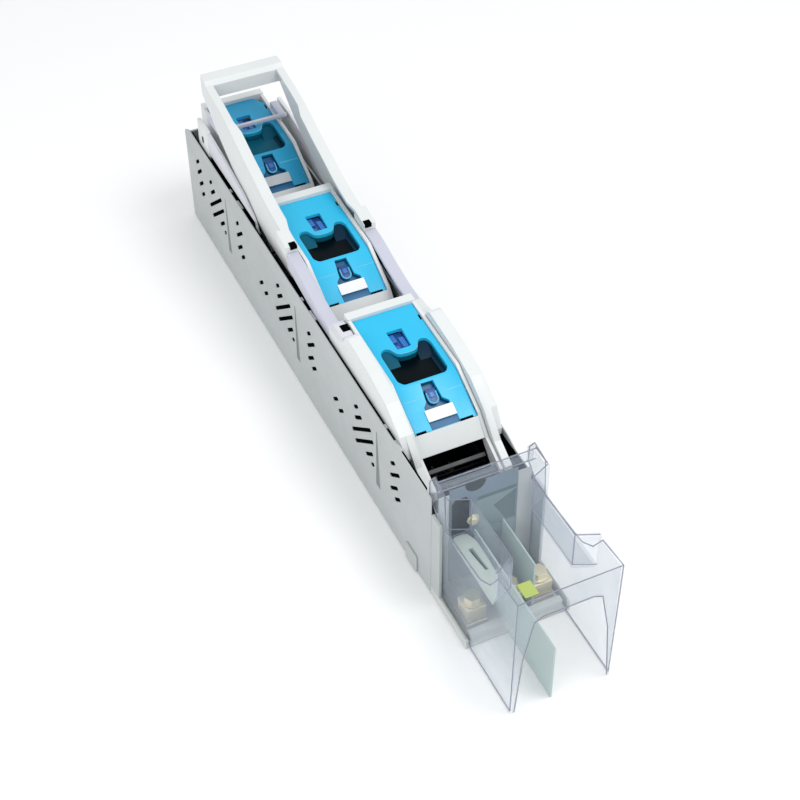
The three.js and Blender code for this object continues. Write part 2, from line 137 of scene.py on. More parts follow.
# ---- materials ----
# Sockets of the colour mix node, which share their names with those for other kinds of value.
MIX_FACTOR, MIX_FIRST, MIX_SECOND, MIX_RESULT = 0, 6, 7, 2
GRAIN_SCALE = 1500
BRUSHED = (1, 0.05, 1)
SHEET_ROUGHNESS = 0.2


class Shader:
    """A principled material with a few helpers for its procedural inputs."""

    def __init__(self, name):
        self.material = bpy.data.materials.new(name)
        self.material.use_nodes = True
        self.tree = self.material.node_tree
        self.surface = self.tree.nodes["Principled BSDF"]
        self.place = self.add("ShaderNodeTexCoord").outputs["Object"]

    def add(self, kind, **values):
        node = self.tree.nodes.new(kind)
        for key, value in values.items():
            node.inputs[key].default_value = value
        return node

    def link(self, source, target):
        self.tree.links.new(source, target)

    def set(self, **values):
        for key, value in values.items():
            self.surface.inputs[key.replace("_", " ")].default_value = value

    def noise(self, scale, detail, stretch=None):
        node = self.add("ShaderNodeTexNoise", Scale=scale, Detail=detail)
        source = self.place
        if stretch:
            squeeze = self.add("ShaderNodeMapping", Scale=stretch)
            self.link(source, squeeze.inputs["Vector"])
            source = squeeze.outputs["Vector"]
        self.link(source, node.inputs["Vector"])
        return node.outputs["Fac"]

    def ramp(self, source, low, high, start=0.3, end=0.7):
        node = self.add("ShaderNodeMapRange")
        node.inputs["From Min"].default_value = start
        node.inputs["From Max"].default_value = end
        node.inputs["To Min"].default_value = low
        node.inputs["To Max"].default_value = high
        self.link(source, node.inputs["Value"])
        return node.outputs["Result"]

    def blend(self, factor, first, second):
        node = self.add("ShaderNodeMix")
        node.data_type = "RGBA"
        for socket, value in ((node.inputs[MIX_FIRST], first), (node.inputs[MIX_SECOND], second)):
            if isinstance(value, tuple):
                socket.default_value = (*value, 1)
            else:
                self.link(value, socket)
        self.link(factor, node.inputs[MIX_FACTOR])
        return node.outputs[MIX_RESULT]

    def bump(self, source, strength, distance):
        node = self.add("ShaderNodeBump", Strength=strength, Distance=distance)
        self.link(source, node.inputs["Height"])
        self.link(node.outputs["Normal"], self.surface.inputs["Normal"])


def scaled(color, factor):
    return tuple(min(1.0, part * factor) for part in color)


def plastic(name, color, roughness, grain=0.12, specular=0.4, cloud=0.07):
    """Moulded plastic: faint flow marks, fine texture and a few dusty or polished patches."""
    shader = Shader(name)
    shader.set(Specular_IOR_Level=specular)
    flow = shader.noise(14, 5, (1, 0.35, 1))
    tone = shader.blend(shader.ramp(flow, 0, 1), scaled(color, 1 - cloud), scaled(color, 1 + cloud / 2))
    specks = shader.noise(420, 2)
    tone = shader.blend(shader.ramp(specks, 0, 0.35, 0.64, 0.8), tone, scaled(color, 0.8))
    shader.link(tone, shader.surface.inputs["Base Color"])
    patches = shader.noise(45, 4)
    shader.link(shader.ramp(patches, roughness * 0.82, min(1, roughness * 1.18)),
                shader.surface.inputs["Roughness"])
    shader.bump(shader.noise(GRAIN_SCALE, 2), grain, 0.2 * MM)
    return shader.material


def metal(name, color, roughness, stain=0.15):
    """Plated metal: long brush marks with a cloudy tarnish."""
    shader = Shader(name)
    shader.set(Metallic=1.0)
    tarnish = shader.noise(60, 5)
    tone = shader.blend(shader.ramp(tarnish, 0, 1), scaled(color, 1 - stain), color)
    shader.link(tone, shader.surface.inputs["Base Color"])
    marks = shader.noise(900, 3, BRUSHED)
    shader.link(shader.ramp(marks, roughness * 0.7, roughness * 1.4), shader.surface.inputs["Roughness"])
    shader.bump(marks, 0.15, 0.1 * MM)
    return shader.material


def clear_sheet(name, color, opacity, edge_opacity):
    """Thin clear plastic: nearly invisible face on, milky at its edges and where it is scuffed."""
    shader = Shader(name)
    shader.set(Specular_IOR_Level=0.6)
    haze = shader.noise(30, 4)
    tone = shader.blend(shader.ramp(haze, 0, 1), scaled(color, 0.94), color)
    shader.link(tone, shader.surface.inputs["Base Color"])
    scuffs = shader.noise(160, 4, (1, 0.2, 1))
    shader.link(shader.ramp(scuffs, SHEET_ROUGHNESS, SHEET_ROUGHNESS * 3),
                shader.surface.inputs["Roughness"])
    rim = shader.add("ShaderNodeLayerWeight", Blend=0.35)
    milk = shader.ramp(haze, 0.9, 1.2)
    veil = shader.ramp(rim.outputs["Facing"], opacity, edge_opacity, 0.15, 0.95)
    product = shader.add("ShaderNodeMath")
    product.operation = "MULTIPLY"
    shader.link(milk, product.inputs[0])
    shader.link(veil, product.inputs[1])
    shader.link(product.outputs[0], shader.surface.inputs["Alpha"])
    return shader.material


FINISHES = {
    "housing_grey": lambda n: plastic(n, (0.47, 0.50, 0.50), 0.5, 0.2),
    "black_liner": lambda n: plastic(n, (0.006, 0.007, 0.009), 0.55, 0.2, 0.25),
    "silver_contact": lambda n: metal(n, (0.82, 0.82, 0.80), 0.28),
    "tinned_copper": lambda n: metal(n, (0.74, 0.70, 0.64), 0.35, 0.25),
    "brass": lambda n: metal(n, (0.90, 0.82, 0.60), 0.5, 0.12),
    "zinc_steel": lambda n: metal(n, (0.62, 0.64, 0.66), 0.33),
    "barrier_grey": lambda n: plastic(n, (0.47, 0.57, 0.56), 0.42, 0.08),
    "lever_white": lambda n: plastic(n, (0.73, 0.755, 0.755), 0.42, 0.1, cloud=0.03),
    "link_grey": lambda n: plastic(n, (0.56, 0.57, 0.66), 0.34, 0.06, cloud=0.04),
    "cover_blue": lambda n: plastic(n, (0.02, 0.50, 0.80), 0.36, 0.1, cloud=0.05),
    "port_blue": lambda n: plastic(n, (0.012, 0.07, 0.26), 0.3, 0.08, cloud=0.3),
    "dark_pane": lambda n: plastic(n, (0.001, 0.004, 0.006), 0.3, 0.0, 0.06),
    "label_white": lambda n: plastic(n, (0.86, 0.87, 0.87), 0.5, 0.05, cloud=0.02),
    "clear_plastic": lambda n: clear_sheet(n, (0.52, 0.60, 0.69), 0.08, 0.32),
    "marker_green": lambda n: plastic(n, (0.42, 0.52, 0.14), 0.45, 0.1),
    # Shades within one kind of part. Most are lighter or darker copies of a part's own colour, painted light
    # and shade:
    # Dark beads painted along the clear cover's edges, for the way light gathers in them.
    "clear_edge": lambda n: clear_sheet(n, (0.27, 0.27, 0.36), 0.6, 0.8),
    # Black as painted shade, where holes, slots, gaps and hollows would be unlit.
    "painted_shade_black": lambda n: plastic(n, (0.002, 0.003, 0.003), 1.0, 0.0, 0.0),
    "blackened": lambda n: metal(n, (0.05, 0.055, 0.06), 0.4),
    # A darker copy of the cover blue as painted shade, for the first carrier's cover.
    "cover_shade": lambda n: plastic(n, (0.012, 0.33, 0.58), 0.36, 0.1, cloud=0.05),
    # A darker copy of the housing grey as painted shade in the wall's grooves.
    "groove_painted_shade": lambda n: plastic(n, (0.24, 0.29, 0.27), 0.8, 0.1, 0.1),
    "step_grey": lambda n: plastic(n, (0.06, 0.065, 0.07), 0.5, 0.1),
    # Dark slate as painted shade in the windows' right lobes and beside them.
    "pane_slate": lambda n: plastic(n, (0.004, 0.025, 0.05), 0.4, 0.05, 0.08),
    # A dark teal copy of the cover blue: painted shade in the window wells and lobes, and a painted
    # reflection on the first carrier's pane.
    "window_shade_and_reflection": lambda n: plastic(n, (0.004, 0.10, 0.16), 0.4, 0.05, 0.1),
    # A paler copy of the cover blue as painted highlights on folds, rims and collars.
    "cover_painted_highlight": lambda n: plastic(n, (0.10, 0.50, 0.72), 0.3, 0.05),
    # A deep copy of the cover blue as painted shade in the port floors and label trays.
    "cover_recess_shade": lambda n: plastic(n, (0.004, 0.11, 0.26), 0.35, 0.05),
    # A greyer copy of the label white as painted shade, for the first carrier's label.
    "label_painted_shade": lambda n: plastic(n, (0.50, 0.54, 0.56), 0.5, 0.05, cloud=0.02),
    # A lighter copy of the port blue as painted highlights on the hooks' ribs and the latches' grips.
    "port_painted_highlight": lambda n: plastic(n, (0.03, 0.16, 0.50), 0.3, 0.05),
    "rear_slate": lambda n: plastic(n, (0.13, 0.19, 0.25), 0.4, 0.1),
    "rear_teal": lambda n: plastic(n, (0.035, 0.085, 0.095), 0.4, 0.1),
    "rear_grey": lambda n: plastic(n, (0.16, 0.24, 0.25), 0.4, 0.1),
    "rail_green": lambda n: plastic(n, (0.52, 0.60, 0.56), 0.35, 0.06),
    # A paler copy of the grey as painted light, on the arm rests, the right cover guide and the lever's
    # junction block.
    "pale_painted_light": lambda n: plastic(n, (0.66, 0.67, 0.71), 0.42, 0.08, cloud=0.04),
    # A paler copy of the housing grey as painted light, for the terminal trough.
    "trough_painted_light": lambda n: plastic(n, (0.60, 0.62, 0.61), 0.4, 0.1),
}
MADE = {}


def finish_of(name):
    if name not in MADE:
        MADE[name] = FINISHES[name](name)
    return MADE[name]


# ---- mesh helpers ----
AXES = {
    "X": Matrix(((0, 0, 1), (1, 0, 0), (0, 1, 0))),
    "Y": Matrix(((1, 0, 0), (0, 0, -1), (0, 1, 0))),
    "Z": Matrix.Identity(3),
}
CREASE = math.radians(35)
ARC_STEPS = 10
SLOT_STEPS = 5
WELD = 0.01
# The least bevel that a plate takes, for pieces that should stay sharp.
KEEN = 0.01


def settle(mesh):
    """Welds a mesh and rounds its shading, keeping the creases."""
    work = bmesh.new()
    work.from_mesh(mesh)
    bmesh.ops.remove_doubles(work, verts=work.verts, dist=WELD * MM)
    bmesh.ops.recalc_face_normals(work, faces=work.faces)
    work.to_mesh(mesh)
    work.free()
    mesh.polygons.foreach_set("use_smooth", [True] * len(mesh.polygons))
    mesh.set_sharp_from_angle(angle=CREASE)


def publish(name, mesh):
    mesh.name = name
    piece = bpy.data.objects.new(name, mesh)
    bpy.context.scene.collection.objects.link(piece)
    return piece


def baked(piece):
    """The piece's mesh with its modifiers applied, in place of the piece."""
    bpy.context.view_layer.update()
    finished = piece.evaluated_get(bpy.context.evaluated_depsgraph_get())
    mesh = bpy.data.meshes.new_from_object(finished)
    bpy.data.objects.remove(piece)
    return mesh


def plate(name, outline, low, high, axis="Z", holes=(), *, bevel, segments=2):
    """A flat outline in millimetres, thickened along an axis, with rounded edges."""
    curve = bpy.data.curves.new(name, "CURVE")
    curve.dimensions = "2D"
    curve.fill_mode = "BOTH"
    for ring in (outline, *holes):
        spline = curve.splines.new("POLY")
        spline.points.add(len(ring) - 1)
        for point, (u, v) in zip(spline.points, ring):
            point.co = (u * MM, v * MM, 0, 1)
        spline.use_cyclic_u = True
    bevel = min(bevel, (high - low) / 2 - KEEN)
    curve.extrude = ((high - low) / 2 - bevel) * MM
    curve.bevel_depth = bevel * MM
    curve.offset = -bevel * MM
    curve.bevel_resolution = segments
    mesh = baked(publish(name, curve))
    turn = AXES[axis]
    middle = (low + high) / 2 * (-1 if axis == "Y" else 1) * MM
    mesh.transform(turn.to_4x4() @ Matrix.Translation((0, 0, middle)))
    settle(mesh)
    return publish(name, mesh)


def rounded(points, radius, steps=4):
    """Rounds the corners of a closed outline."""
    result = []
    count = len(points)
    for i, corner in enumerate(points):
        corner = Vector(corner)
        before = Vector(points[i - 1]) - corner
        after = Vector(points[(i + 1) % count]) - corner
        reach = min(radius, before.length * 0.45, after.length * 0.45)
        start = corner + before.normalized() * reach
        end = corner + after.normalized() * reach
        for s in range(steps + 1):
            t = s / steps
            spot = start * (1 - t) ** 2 + corner * 2 * t * (1 - t) + end * t ** 2
            result.append((spot.x, spot.y))
    return result


def rectangle(x0, x1, y0, y1, radius=0.0):
    corners = [(x0, y0), (x1, y0), (x1, y1), (x0, y1)]
    return rounded(corners, radius) if radius else corners


def circle(u, v, radius, sides):
    turns = [i * math.tau / sides for i in range(sides)]
    return [(u + radius * math.cos(turn), v + radius * math.sin(turn)) for turn in turns]


def arc(u, v, radius, start, end):
    turns = [math.radians(start + (end - start) * i / ARC_STEPS) for i in range(ARC_STEPS + 1)]
    return [(u + radius * math.cos(turn), v + radius * math.sin(turn)) for turn in turns]


def slot_outline(u, v, length, width, angle):
    reach = (length - width) / 2
    points = []
    for side in (1, -1):
        for i in range(SLOT_STEPS + 1):
            turn = angle + (0 if side > 0 else math.pi) - math.pi / 2 + i * math.pi / SLOT_STEPS
            points.append((u + side * reach * math.cos(angle) + width / 2 * math.cos(turn),
                           v + side * reach * math.sin(angle) + width / 2 * math.sin(turn)))
    return points


def moved(points, du, dv=0.0):
    return [(u + du, v + dv) for u, v in points]


def grown(points, amount):
    """An outline moved outwards by an amount, for outlines that run clockwise or the other way."""
    area = sum(a[0] * b[1] - b[0] * a[1] for a, b in zip(points, points[1:] + points[:1]))
    turn = 1 if area > 0 else -1
    result = []
    for i, (x, y) in enumerate(points):
        before = Vector(points[i - 1])
        after = Vector(points[(i + 1) % len(points)])
        along = (after - before).normalized()
        result.append((x + along.y * amount * turn, y - along.x * amount * turn))
    return result


def across(low, high, side):
    """A stretch across the strip, on one side of it or the other."""
    return (low, high) if side > 0 else (-high, -low)


def box(name, x, y, z, bevel, corner=0.0):
    return plate(name, rectangle(*x, *y, corner), *z, "Z", bevel=bevel)


def carve(piece, cutters):
    """Cuts other pieces out of this one and takes them out of the scene."""
    for cutter in cutters:
        step = piece.modifiers.new("cut", "BOOLEAN")
        step.operation = "DIFFERENCE"
        step.solver = "EXACT"
        step.object = cutter
    name = piece.name
    mesh = baked(piece)
    for cutter in cutters:
        bpy.data.objects.remove(cutter)
    return publish(name, mesh)


def soften(piece, width):
    """Merges coplanar faces, then bevels what is left of the edges."""
    weld = piece.modifiers.new("weld", "WELD")
    weld.merge_threshold = WELD / 2 * MM
    merge = piece.modifiers.new("decimate", "DECIMATE")
    merge.decimate_type = "DISSOLVE"
    merge.angle_limit = math.radians(1)
    bevel = piece.modifiers.new("bevel", "BEVEL")
    bevel.width = width * MM
    bevel.segments = 2
    bevel.limit_method = "ANGLE"
    bevel.angle_limit = math.radians(30)
    bevel.use_clamp_overlap = True


def tube(name, points, radius):
    """A round bead along points in millimetres."""
    curve = bpy.data.curves.new(name, "CURVE")
    curve.dimensions = "3D"
    spline = curve.splines.new("POLY")
    spline.points.add(len(points) - 1)
    for point, spot in zip(spline.points, points):
        point.co = (*(Vector(spot) * MM), 1)
    curve.bevel_depth = radius * MM
    curve.bevel_resolution = 2
    curve.use_fill_caps = True
    mesh = baked(publish(name, curve))
    settle(mesh)
    return publish(name, mesh)


def tilt(piece, pole):
    """Tips a piece made flat at the slope's top down onto the slope of its carrier."""
    pivot = Matrix.Translation(Vector((0, pole + SLOPE_TOP.y, SLOPE_TOP.z)) * MM)
    piece.data.transform(pivot @ Matrix.Rotation(SLOPE, 4, "X") @ pivot.inverted())
    return piece


def down(y):
    """Where a point of the slope lies before the slope is tipped."""
    return SLOPE_TOP.y - (SLOPE_TOP.y - y) / math.cos(SLOPE)


def slope_box(name, pole, x, y, z, bevel, corner=0.0):
    """A box on a carrier's slope, its distances from the pole and its heights from the slope's face."""
    along = [pole + down(distance) for distance in y]
    heights = [SLOPE_TOP.z + height for height in z]
    return tilt(box(name, x, along, heights, bevel, corner), pole)


def place(piece, body, finish, slot, *stands_for):
    """Gives a finished piece its body and its material, and hides the nodes that it stands for. Its slot is
    not used.
    """
    piece.data.materials.clear()
    piece.data.materials.append(finish_of(finish))
    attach(piece, body)
    if stands_for:
        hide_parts(*stands_for)


# ---- CAD nodes that keep their shape ----
BEVELS = {
    "handle_frame": 1.4, "lever_link_left": 1.2, "lever_link_right": 1.2, "lever_cheek_left": 1.6,
    "lever_cheek_right": 1.6, "carrier_frame_1": 0.9, "carrier_frame_2": 0.9, "carrier_frame_3": 0.9,
    "carrier_clip_1": 0.9,
}
USUAL_BEVEL = 0.4
# Finishes other than the slot's own, by the node's name without its number.
SPECIAL_FINISHES = {
    # The right cover guide and the terminal trough take paler copies of the grey as painted light.
    "carrier_axle": "blackened", "cover_guide_right": "pale_painted_light", "terminal_trough": "trough_painted_light",
    "terminal_bolt": "brass",
}


def dress_cad_nodes():
    for node, obj in frame["nodes"].items():
        obj.data.materials.clear()
        finish = SPECIAL_FINISHES.get(node.rstrip("_123"), NODE_SLOTS[node])
        obj.data.materials.append(finish_of(finish))
        soften(obj, BEVELS.get(node, USUAL_BEVEL))


# ---- housing ----
VENT_ANGLE = math.radians(140)
VENT_WIDTH = 3.9
# Each row is (distance from the pole, height, length).
ARC_VENTS = ((28, 90, 13), (24, 80, 21), (17.5, 71, 56), (12, 61, 54), (1, 55, 21), (-6, 48, 9))
SIDE_VENTS = ((-49, 90, 13), (-53, 79, 26), (-51, 61, 21), (-58, 53, 16))
TOP_VENTS = ((67, 91, 16), (64, 80, 22), (62, 66, 20), (59, 54, 16))
TOP_DOTS = ((76, 58, 16), (64, 53, 16))
WALL_SKIN = 1.0
WALL_INSIDE = HALF_WIDTH - WALL_SKIN
# Seen from the side, as (distance from the far end, height).
ARM_REST = ((-206, 100), (-192, 122), (-164, 133), (-112, 142), (-66, 146), (-40, 141), (-34, 126),
            (-34, 100))
# The gap's painted shade starts further from the near end where the right wall steps down.
GAP_START = {"left": 14, "right": 88}
BRIDGES = ((-64, 14), (-34, 5))


def vent_outlines():
    return [slot_outline(pole + y, z, length, VENT_WIDTH, VENT_ANGLE)
            for index, pole in enumerate(POLES)
            for y, z, length in (*ARC_VENTS, *SIDE_VENTS, *(TOP_DOTS if index else TOP_VENTS))]


def groove_outlines():
    """A tapered groove runs up each wall near every pole."""
    return [rounded([(pole - 21.5, 30), (pole - 12.5, 30), (pole - 15.3, 98), (pole - 17.1, 98)], 1.5)
            for pole in POLES]


def wall_outline(name):
    """The left wall keeps its full height, and the right wall steps down beside the last cheek."""
    far_part = [(BODY_NEAR, 0), (FAR_END, 0), (FAR_END, 111), (FAR_END - 14, WALL_TOP)]
    step_down = [(84, WALL_TOP), (70, 104), (52, 102), (37, 97), (0, 97)]
    near_part = moved(step_down if name == "right" else [(0, WALL_TOP)], BODY_NEAR)
    return rounded(far_part + near_part, 3)


def add_side_walls():
    for name, side in SIDES:
        add_wall(name, side)
        add_arm_rest(name, side)
        clip = plate(f"wall_clip_{name}", rounded(rectangle(BODY_NEAR + 25, BODY_NEAR + 47, 0.5, 20), 3),
                     *across(HALF_WIDTH - 0.2, HALF_WIDTH + 2, side), "X", bevel=0.8)
        place(clip, "housing", "housing_grey", "housing_grey")
        add_wall_gap(name, side)


def add_wall(name, side):
    """A wall with its vents and grooves cut through, and layers behind them: a black sheet as painted shade
    behind the vents and darker grey floors as painted shade in the grooves.
    """
    skin = plate(f"side_wall_skin_{name}", wall_outline(name), *across(WALL_INSIDE, HALF_WIDTH, side),
                 "X", vent_outlines() + groove_outlines(), bevel=0.3)
    place(skin, "housing", "housing_grey", "housing_grey", f"side_wall_{name}")
    # A black sheet behind the vents as painted shade.
    liner = plate(f"side_wall_vent_shade_{name}", rectangle(BODY_NEAR + 3, FAR_END - 3, 5, 96),
                  *across(WALL_INSIDE - 0.6, WALL_INSIDE - 0.3, side), "X", bevel=0.1)
    place(liner, "housing", "painted_shade_black", "black_liner")
    for k, groove in enumerate(groove_outlines(), 1):
        floor = plate(f"wall_groove_{name}_{k}", grown(groove, 0.6),
                      *across(WALL_INSIDE - 0.25, WALL_INSIDE + 0.25, side), "X", bevel=0.1)
        place(floor, "housing", "groove_painted_shade", "housing_grey")


def add_arm_rest(name, side):
    """A panel that the lever's arm closes on, paler than the housing as painted light, with a white pad at
    its far end, a black strip along its lower part as painted shadow and a black slit in the pad as painted
    shade.
    """
    panel = plate(f"arm_rest_{name}", moved(rounded(ARM_REST, 6), FAR_END), *across(42.2, 45.4, side),
                  "X", bevel=1.0)
    place(panel, "housing", "pale_painted_light", "housing_grey")
    pad = box(f"arm_pad_{name}", across(41.8, 46.4, side), (FAR_END - 68, FAR_END - 38), (112, 147), 1.4, 2)
    place(pad, "housing", "lever_white", "housing_grey")
    shadow = plate(f"arm_rest_shadow_{name}", rectangle(FAR_END - 196, FAR_END - 72, 112, 121, 3),
                   *across(45.45, 45.8, side), "X", bevel=0.1)
    place(shadow, "housing", "painted_shade_black", "black_liner")
    slit = box(f"arm_pad_slit_{name}", across(46.2, 46.7, side), (FAR_END - 55, FAR_END - 51),
               (126, 133), 0.1)
    place(slit, "housing", "painted_shade_black", "black_liner")


def add_wall_gap(name, side):
    """The gap between the wall's lip and the moving parts is painted black as painted shade, with a few
    bridges across it.
    """
    shade = box(f"wall_gap_{name}", across(46.1, WALL_INSIDE, side),
                (BODY_NEAR + GAP_START[name], FAR_END - 18), (97, 117), 0.2)
    place(shade, "housing", "painted_shade_black", "black_liner")
    bridged = POLES if name == "left" else POLES[:-1]
    for k, pole in enumerate(bridged, 1):
        for n, (y, length) in enumerate(BRIDGES, 1):
            bridge = box(f"wall_bridge_{name}_{k}_{n}", across(46, HALF_WIDTH - 0.6, side),
                         (pole + y, pole + y + length), (96, WALL_TOP - 0.6), 0.5)
            place(bridge, "housing", "housing_grey", "housing_grey")


def add_far_end():
    """Moulded panels, vents and fixings on the far end cap."""
    y = FAR_END - 0.4
    holes = [slot_outline(x, 84, 26, 4, math.pi / 2) for x in (-30, -18, -6, 6, 18, 30)]
    panel = plate("far_end_panel", rectangle(-42, 42, 10, 104, 6), y - 0.2, y + 0.35, "Y", holes, bevel=0.15)
    place(panel, "housing", "housing_grey", "housing_grey")
    for n, (x, z) in enumerate(((-34, 20), (34, 20)), 1):
        add_screw(f"far_end_screw_{n}", x, z, y + 0.2)


def add_screw(name, x, z, level):
    """A pan head with a cross slot, facing away from the far end."""
    radius, slot = 5.2, 1.3
    head = plate(name, circle(x, z, radius, 28), level - 1.2, level + 0.2, "Y", bevel=0.3)
    arms = []
    for length, width in ((radius * 1.1, slot), (slot, radius * 1.1)):
        outline = rectangle(x - length / 2, x + length / 2, z - width / 2, z + width / 2)
        arms.append(plate("cut", outline, level - 0.7, level + 2, "Y", bevel=0.05))
    place(carve(head, arms), "housing", "zinc_steel", "zinc_steel")


def add_back():
    """Ribbed pockets between the busbar pads on the back of the base."""
    rib, pocket = 6, 12
    for k, (far, near) in enumerate(zip(POLES, POLES[1:]), 1):
        start, end = near + 30, far - 30
        count = int((end - start) // (rib + pocket))
        lows = [start + rib + i * (rib + pocket) for i in range(count)]
        pockets = [rectangle(-36, 36, low, low + pocket, 2.5) for low in lows]
        grid = plate(f"back_grid_{k}", rectangle(-42, 42, start, end, 4), 0.02, 1.0, "Z", pockets,
                     bevel=0.25)
        place(grid, "housing", "housing_grey", "housing_grey")


# ---- terminal compartment ----
def add_terminal_details():
    """The screen behind the clear cover, the rail over terminal 1, and its fixings."""
    rear = BODY_NEAR - 0.9
    cavity = [(-31, 66), (-15, 66), (-15, 103), (-18, 108), (-28, 108), (-31, 103)]
    # The notch and the cavity are black as painted shade, and rear_shadow is a painted shadow across the
    # panel.
    layers = (
        ("rear_screen", "rear_slate", rectangle(-33, 30, 62, 121), 0.0),
        ("rear_notch", "painted_shade_black", arc(-9.7, 121, 9.4, 180, 360), 0.25),
        ("rear_band", "rear_teal", [(-8, 98.6), (29, 98.6), (29, 102.4), (-6, 102.4)], 0.25),
        ("rear_panel", "rear_grey", rectangle(-8, 29, 63, 98.4), 0.2),
        ("rear_shadow", "rear_teal", [(8, 86), (28.6, 97), (28.6, 63.4), (20, 63.4)], 0.4),
        ("rear_cavity", "painted_shade_black", cavity, 0.3),
        ("rear_lower", "rear_grey", rectangle(-33, 30, 5, 61.6), 0.0),
        ("rear_side_left", "housing_grey", rectangle(-43, -33.4, 5, 116), 0.0),
        ("rear_side_right", "housing_grey", rectangle(30.4, 43, 5, 116), 0.0),
        ("rear_edge_left", "housing_grey", rectangle(-46.4, -43, 5, 99), 0.0),
        ("rear_edge_right", "housing_grey", rectangle(43, 46.4, 5, 99), 0.0),
    )
    for name, finish, outline, proud in layers:
        layer = plate(name, outline, rear - 0.3 - proud, rear + 0.8, "Y", bevel=0.12)
        place(layer, "housing", finish, "black_liner")
    bolt_spot = (-11.5, 78)
    bolt = plate("rear_bolt", circle(*bolt_spot, 4.6, 6), rear - 4.5, rear, "Y", bevel=0.7)
    place(bolt, "housing", "brass", "brass")
    washer = plate("rear_washer", circle(*bolt_spot, 5.6, 28), rear - 1.6, rear, "Y", bevel=0.3)
    place(washer, "housing", "brass", "brass")
    rail_plan = rounded([(-31, 0), (-17.5, 0), (-13, -12), (-14, -52), (-27, -74), (-31, -74)], 4)
    slit = rounded([(-24, -17), (-20.4, -17), (-19, -43), (-21, -43)], 0.8)
    rail = plate("terminal_rail", moved(rail_plan, 0, BODY_NEAR - 1.5), 57, 64.4, "Z",
                 [moved(slit, 0, BODY_NEAR - 1.5)], bevel=1.6, segments=3)
    place(rail, "housing", "rail_green", "barrier_grey")
    under = box("rail_shadow", (-24.5, -18), (BODY_NEAR - 45, BODY_NEAR - 17), (56.4, 57.6), 0.2)
    place(under, "housing", "painted_shade_black", "black_liner")
    for name, side in SIDES:
        ridge = box(f"trough_ridge_{name}", across(46.9, HALF_WIDTH - 0.2, side),
                    (BODY_NEAR - 64, BODY_NEAR - 20), (8, 11.4), 1.2, 1.5)
        place(ridge, "housing", "housing_grey", "housing_grey")


def add_dark_pit():
    """Paints the space beyond the last carrier's foot black as painted shade, apart from a faint step."""
    step = plate("dark_step", [(POLES[2] - 73, 87), (POLES[2] - 70, 87), (POLES[2] - 70, 89.4),
                               (POLES[2] - 73, 88)], -26, 28, "X", bevel=0.3)
    place(step, "housing", "step_grey", "black_liner")
    pit = box("dark_pit", (-29, 29), (BODY_NEAR + 8.4, POLES[2] - 67), (72.4, 74), 0.2)
    place(pit, "housing", "painted_shade_black", "black_liner")


# ---- carriers ----
COVER_SKIN = 3.2
# Heights between which a cover is cut, and between which its window's layers lie.
PORT_CUT = (125, 150)
CORNER_CUT = (130, 150)
WELL_LEVELS = (130.7, 135.4)
PANE_LEVELS = (128.9, 130.4)
BEAD_RADIUS = 0.55
# The two slots at a cover's foot, from the left to the right.
FOOT_SLOTS = ((-28, -18.4), (13.4, 26))


def window_points():
    """Two rounded lobes reach up on either side of the upper port."""
    right = [(0, 22.8), (7, 23.6), (10.4, 26), (13.6, 33), (17, 35), (21.6, 33.6), (23.8, 28), (23.8, -6),
             (20, -10.6)]
    left = [(-x, y) for x, y in reversed(right[1:])]
    return rounded(right + left, 3.0, 5)


def front_height(y):
    """Height of the cover's face at a distance from its pole."""
    if y >= SLOPE_TOP.y:
        return SLOPE_TOP.z + (y - SLOPE_TOP.y) * (COVER_CREST - SLOPE_TOP.z) / (COVER_REACH - SLOPE_TOP.y)
    return SLOPE_TOP.z + (y - SLOPE_TOP.y) * math.tan(SLOPE)


UPPER_PORT = rounded([(-7.7, 53.5), (7.4, 53.5), (6.2, 30.4), (-7.2, 30)], 1)
LOWER_PORT = [(-6.2, down(-13.5)), (5.6, down(-13.7)), (7.2, down(-29.2)), (11.8, down(-33)),
              (11.8, down(-36.2)), (-11.9, down(-36.2)), (-11.9, down(-33)), (-8.2, down(-29.2))]


def cover_profile():
    """A cover from the side: a long face, a soft crease and a slope down to the foot."""
    (y1, z1), (y2, z2) = SLOPE_TOP.yz, SLOPE_FOOT.yz
    return [(COVER_REACH, COVER_CREST), (y1 + 2, z1 + 0.12), (y1 - 2, z1 - 0.9), (y2, z2),
            (y2 + 1.4, z2 - 2.9), (y1 + 0.8, z1 - COVER_SKIN), (COVER_REACH, COVER_CREST - COVER_SKIN)]


def cover_cutters(k, pole, window):
    """The window, the two ports, the label's seat, a notch and the foot slots, as pieces to cut with."""
    lower_port = moved(LOWER_PORT, 0, pole)
    cutters = [
        plate("cut", window, *PORT_CUT, bevel=KEEN),
        plate("cut", moved(UPPER_PORT, 0, pole), *PORT_CUT, bevel=KEEN),
        tilt(plate("cut", lower_port, SLOPE_TOP.z - 6, SLOPE_TOP.z + 4, bevel=KEEN), pole),
        slope_box("cut", pole, (-13.4, 13.4), (-53, -45.4), (-0.9, 3), KEEN),
        box("cut", (27.4, 29.6), (pole + 56, pole + 63), CORNER_CUT, KEEN),
    ]
    cutters += [slope_box("cut", pole, x, (-53, -50.2), (-5, 3), KEEN) for x in FOOT_SLOTS]
    if k == 1:
        corner = moved([(19, 79), (31, 79), (31, 64)], 0, pole)
        cutters.append(plate("cut", corner, *CORNER_CUT, bevel=KEEN))
    return cutters


def add_cover(k, pole):
    half = COVER_HALF - 0.02
    window = moved(window_points(), 0, pole)
    shell = plate(f"cover_shell_{k}", moved(cover_profile(), pole), -half, half, "X", bevel=0.7)
    cover = carve(shell, cover_cutters(k, pole, window))
    settle(cover.data)
    # The first carrier's cover takes a darker blue as painted shade.
    finish = "cover_shade" if k == 1 else "cover_blue"
    place(cover, f"carrier_{k}", finish, "cover_blue", f"carrier_cover_{k}")
    add_window(k, pole, window)
    add_hook(k, pole)
    add_latch(k, pole)
    add_label(k, pole)
    add_cover_folds(k, pole)


